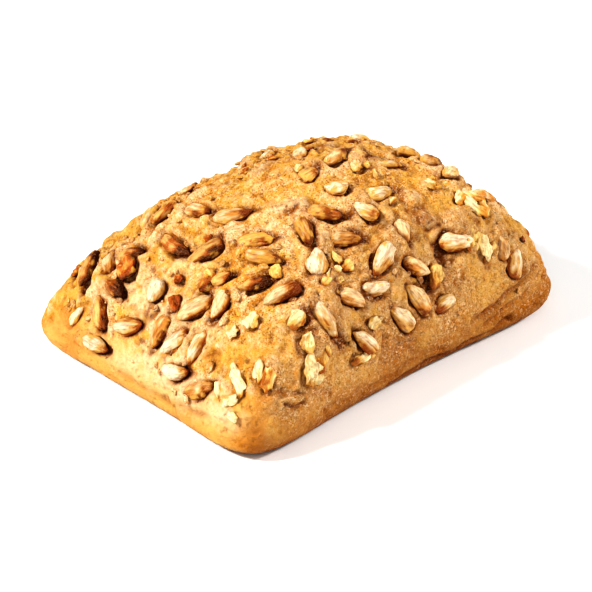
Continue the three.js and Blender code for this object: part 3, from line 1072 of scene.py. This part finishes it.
MATERIALS = {
    "crust": crust_material(),
    "kernel_pale": kernel_material("kernel_pale", 0.28, 0.6),
    "kernel_tan": kernel_material("kernel_tan", 0.2, 0.5),
    "kernel_dark": kernel_material("kernel_dark", 0.12, 0.4),
}


# ------------------------------ the pieces


def store_grain(mesh, local):
    """The kernel's own coordinates, stretched so that fibres run along it."""
    layer = mesh.attributes.new("grain", "FLOAT_VECTOR", "POINT")
    layer.data.foreach_set("vector", (local * (2.2, 0.35, 2.2)).astype(np.float32).ravel())


def finish_piece(name, parts, slot):
    """One object from [(world points, faces, local points, colours)]."""
    points, faces, local, colours, start = [], [], [], [], 0
    for world, part_faces, part_local, part_colours in parts:
        faces += [tuple(i + start for i in face) for face in part_faces]
        points.append(world)
        local.append(part_local)
        colours.append(part_colours)
        start += len(world)
    piece = make_object(name, np.vstack(points), faces)
    paint(piece.data, "tone", np.vstack(colours))
    store_grain(piece.data, np.vstack(local))
    if slot == "crust":
        store_speckle(piece.data, np.ones(start))
    piece.data.shade_smooth()
    piece.data.materials.append(MATERIALS[slot])
    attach(piece, "root")
    return piece


def kernel_part(pose, slot, seed):
    local, faces = kernel_mesh(pose.length, pose.width, pose.height, seed)
    colours = kernel_colours(local, pose, KERNEL_TONES[slot], seed)
    return pose.place(local), faces, local + seed * 3.1, colours


def bit_part(pose, kind, slot, seed):
    local, faces = bit_mesh(pose.length, pose.width, pose.height, kind, seed)
    bright = kind == "flake" and slot == "kernel_pale" and pose.out[1] > FRONT_LIMIT
    tones = FLAKE_TONES if bright else BIT_TONES[slot]
    colours = kernel_colours(local, pose, tones, seed)
    return pose.place(local), faces, local + seed * 3.1, colours


def crumb_parts(shaped):
    """Small lumps of dough stuck to the crust, mostly beside the kernels."""
    rng = np.random.default_rng(12)
    poses = [p for _, p, _ in kernel_poses] + [p for p, _ in loose_poses]
    parts = []
    while len(parts) < CRUMBS:
        near = poses[rng.integers(len(poses))]
        away = rng.normal(0, 1, 3)
        away -= near.out * (away @ near.out)
        away *= rng.uniform(near.width * 0.55, near.length * 0.95) / np.linalg.norm(away)
        spot, _, face, _ = shaped.find_nearest(Vector(near.centre + away))
        out = surface.find_nearest(spot)[1]
        if spot.z < 2.5:
            continue
        across = Vector(rng.normal(0, 1, 3)).cross(out).normalized()
        size = 0.4 + 1.5 * rng.uniform() ** 3
        pose = Pose(spot + out * 0.12 * size, across, out, size * 1.5, size, min(size, 1.2) * 0.8)
        local, faces = bit_mesh(pose.length, pose.width, pose.height, "chunk", len(parts), 7, 9)
        tone = crust_tones[crust.data.polygons[face].vertices[0]] * rng.uniform(0.8, 1.3)
        colours = blend(np.tile(tone, (len(local), 1)), CREAM, np.full(len(local), rng.uniform(0, 0.5)))
        # Painted shade: each crumb browner towards its underside.
        colours = blend(colours, BROWN, 0.8 * smooth(-local[:, 2] / size, -0.1, 0.3))
        parts.append((pose.place(local), faces, local, colours))
    return parts


crust.data.shade_smooth()
crust.data.materials.clear()
crust.data.materials.append(MATERIALS["crust"])
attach(crust, "root")
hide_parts("loaf")

for index, (node, pose, slot) in enumerate(kernel_poses):
    part = kernel_part(pose, slot, NODE_SEED + index)
    piece = finish_piece(node.replace("seed", "kernel"), [part], slot)
    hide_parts(node)

shaped = BVHTree.FromPolygons(
    moved_points.tolist(), [tuple(p.vertices) for p in crust.data.polygons])
finish_piece("crumbs", crumb_parts(shaped), "crust")

for slot in KERNEL_TONES:
    parts = [
        kernel_part(pose, slot, LOOSE_SEED + i)
        for i, (pose, own_slot) in enumerate(loose_poses) if own_slot == slot
    ]
    finish_piece("loose_" + slot, parts, slot)
    parts = [
        bit_part(pose, kind, slot, BIT_SEED + i)
        for i, (pose, kind, own_slot) in enumerate(bit_poses) if own_slot == slot
    ]
    finish_piece("bits_" + slot, parts, slot)


# ------------------------------ floor, light, camera


def make_floor():
    size = 3000
    corners = [(-size, -size, 0), (size, -size, 0), (size, size, 0), (-size, size, 0)]
    floor = make_object("floor", corners, [(0, 1, 2, 3)])
    material, _, _, shader = new_material("floor")
    shader.inputs["Base Color"].default_value = (0.93, 0.93, 0.93, 1)
    shader.inputs["Roughness"].default_value = 0.9
    floor.data.materials.append(material)


def make_light(name, place, size, power):
    """A square light turned to the middle of the roll."""
    light = bpy.data.lights.new(name, "AREA")
    light.size = size
    light.energy = power
    holder = bpy.data.objects.new(name, light)
    holder.location = place
    beam = Vector((0, 0, 0.02)) - Vector(place)
    holder.rotation_euler = beam.to_track_quat("-Z", "Y").to_euler()
    bpy.context.scene.collection.objects.link(holder)


def make_camera():
    azimuth, elevation = math.radians(CAMERA_AZIMUTH), math.radians(CAMERA_ELEVATION)
    distance = CAMERA_DISTANCE * MM
    target = Vector((np.array(CAMERA_AIM) + shift) * MM)
    back = Vector((
        math.sin(azimuth) * math.cos(elevation),
        -math.cos(azimuth) * math.cos(elevation),
        math.sin(elevation),
    ))
    camera = bpy.data.objects.new("camera", bpy.data.cameras.new("camera"))
    camera.data.lens = 100
    camera.data.sensor_width = 36
    camera.data.clip_start = 0.01
    camera.location = target + back * distance
    camera.rotation_euler = back.to_track_quat("Z", "Y").to_euler()
    bpy.context.scene.collection.objects.link(camera)
    bpy.context.scene.camera = camera


make_floor()
for name, (place, size, power) in LIGHTS.items():
    make_light(name, place, size, power)
make_camera()

world = bpy.data.worlds.new("studio")
world.use_nodes = True
sky = world.node_tree.nodes["Background"]
sky.inputs["Color"].default_value = (1, 1, 1, 1)
sky.inputs["Strength"].default_value = SKY_STRENGTH
bpy.context.scene.world = world
bpy.context.scene.view_settings.view_transform = "Standard"
bpy.context.scene.view_settings.look = "Very High Contrast"
